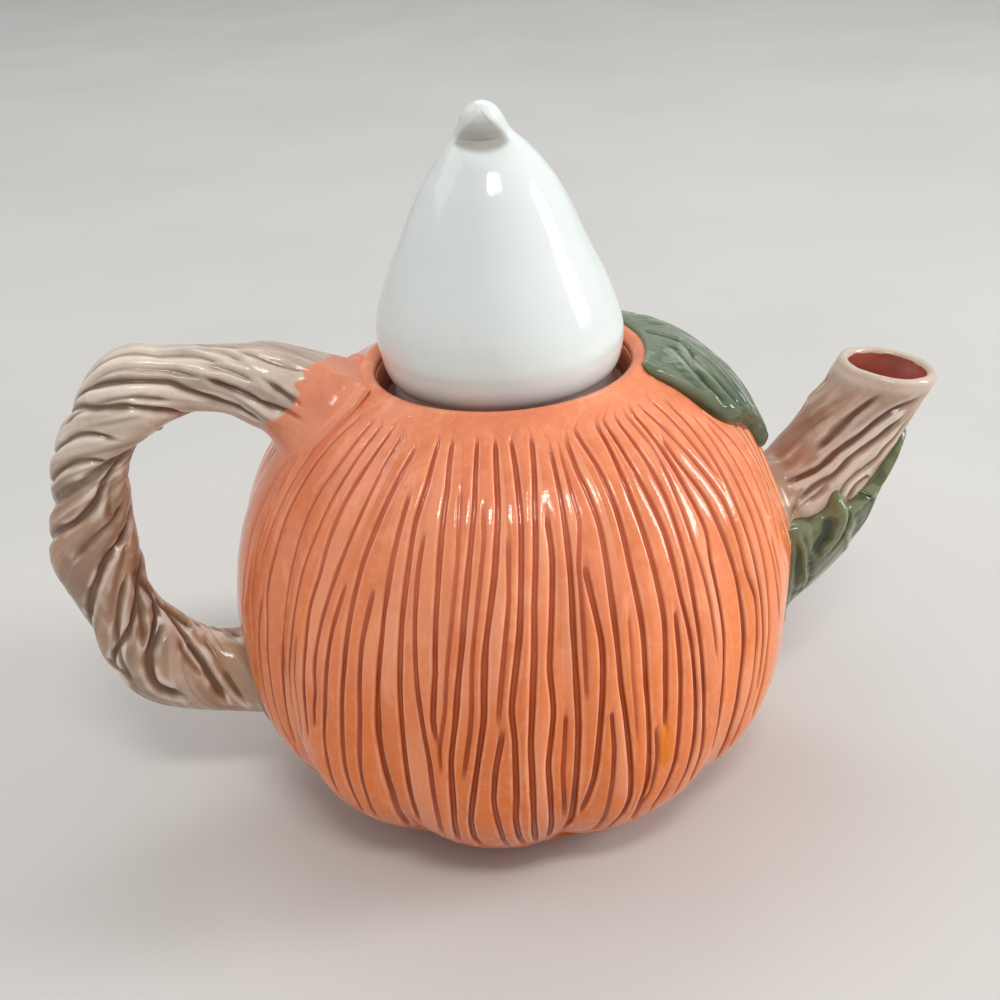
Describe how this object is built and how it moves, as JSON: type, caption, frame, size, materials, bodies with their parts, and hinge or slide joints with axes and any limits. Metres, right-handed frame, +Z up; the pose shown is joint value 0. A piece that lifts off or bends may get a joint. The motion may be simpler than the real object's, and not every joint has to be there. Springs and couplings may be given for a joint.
{
  "type": "teapot",
  "caption": "Glazed ceramic teapot shaped like a ribbed pumpkin, with a twisted vine handle and spout, leaves, and a tall white lift-off lid.",
  "frame": {"origin": "centre of the footprint's bounding box, on the surface the teapot stands on; 2 mm or less from the body's axis", "axes": "+X towards the spout, -X towards the handle, +Z up"},
  "size_m": [0.238, 0.1482, 0.1865],
  "materials": {
    "pumpkin_glaze": "gloss glaze, salmon orange on the ridges and dark rust pooled in the grooves",
    "inner_glaze": "gloss reddish-brown glaze",
    "vine_glaze": "gloss grey-beige glaze with brown pooled in the creases",
    "leaf_glaze": "gloss olive green glaze",
    "white_glaze": "high-gloss cool white glaze"
  },
  "bodies": {
    "pot": {"pot_body": "pumpkin_glaze", "mouth_gallery": "inner_glaze", "handle": "vine_glaze", "spout": "vine_glaze", "spout_leaf": "leaf_glaze", "shoulder_leaf": "leaf_glaze"},
    "lid_seat": {"lid_collar": "white_glaze"},
    "lid": {"lid_dome": "white_glaze", "lid_knob": "white_glaze"}
  },
  "joints": [
    {"name": "lid_lift", "type": "slide", "parent": "pot", "child": "lid_seat", "axis": [0, 0, 1], "range_m": [0, 0.08]},
    {"name": "lid_turn", "type": "hinge", "parent": "lid_seat", "child": "lid", "pos_m": [0.0016, 0, 0.1123], "axis": [0, 0, 1], "continuous": true}
  ]
}
